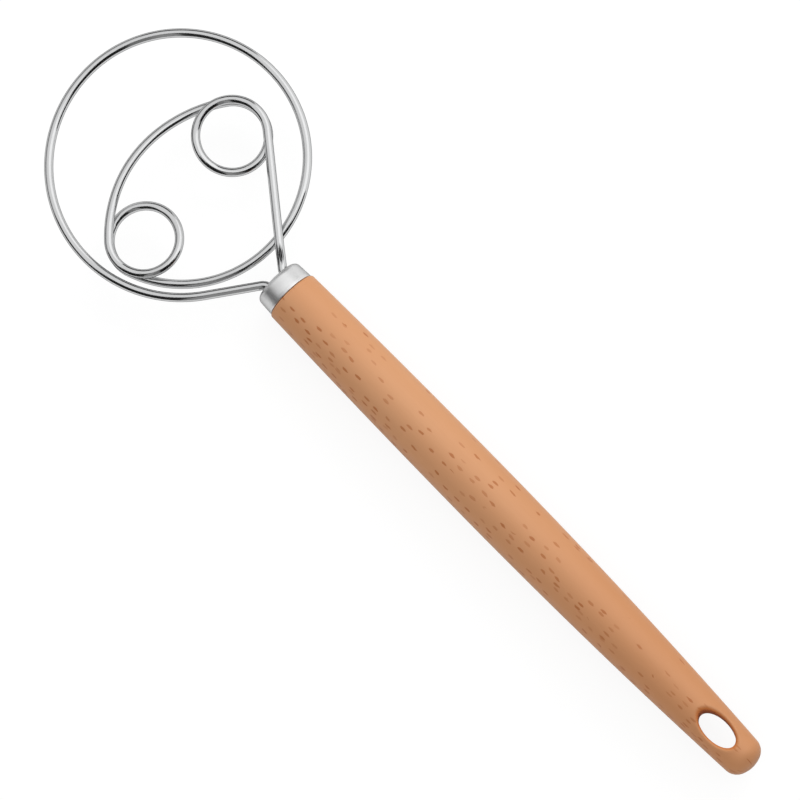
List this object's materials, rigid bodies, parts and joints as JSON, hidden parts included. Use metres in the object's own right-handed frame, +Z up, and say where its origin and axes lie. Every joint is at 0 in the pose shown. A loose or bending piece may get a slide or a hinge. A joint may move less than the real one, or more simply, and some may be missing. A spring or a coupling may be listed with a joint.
{
  "type": "dough whisk",
  "caption": "Dough whisk with a flat head of ring, arch and two small loops bent from one round wire, in a turned wooden handle with an oval hanging slot.",
  "frame": {"origin": "middle of the tool's length and width, at the height of the lowest point of the handle, so the tool lies on z = 0 with its wire head level", "axes": "+X along the handle's axis towards the wire head, +Y across the flat head towards the second small loop, +Z up, square to the head"},
  "size_m": [0.3258, 0.0921, 0.0214],
  "materials": {
    "wire_steel": "polished stainless wire",
    "cap_steel": "satin stainless steel",
    "beech": "smooth turned beech, lightly oiled",
    "glue": "cured adhesive, hidden"
  },
  "bodies": {
    "root": {"whisk_wire": "wire_steel", "ferrule": "cap_steel", "handle": "beech", "tail_glue": "glue"}
  },
  "joints": []
}
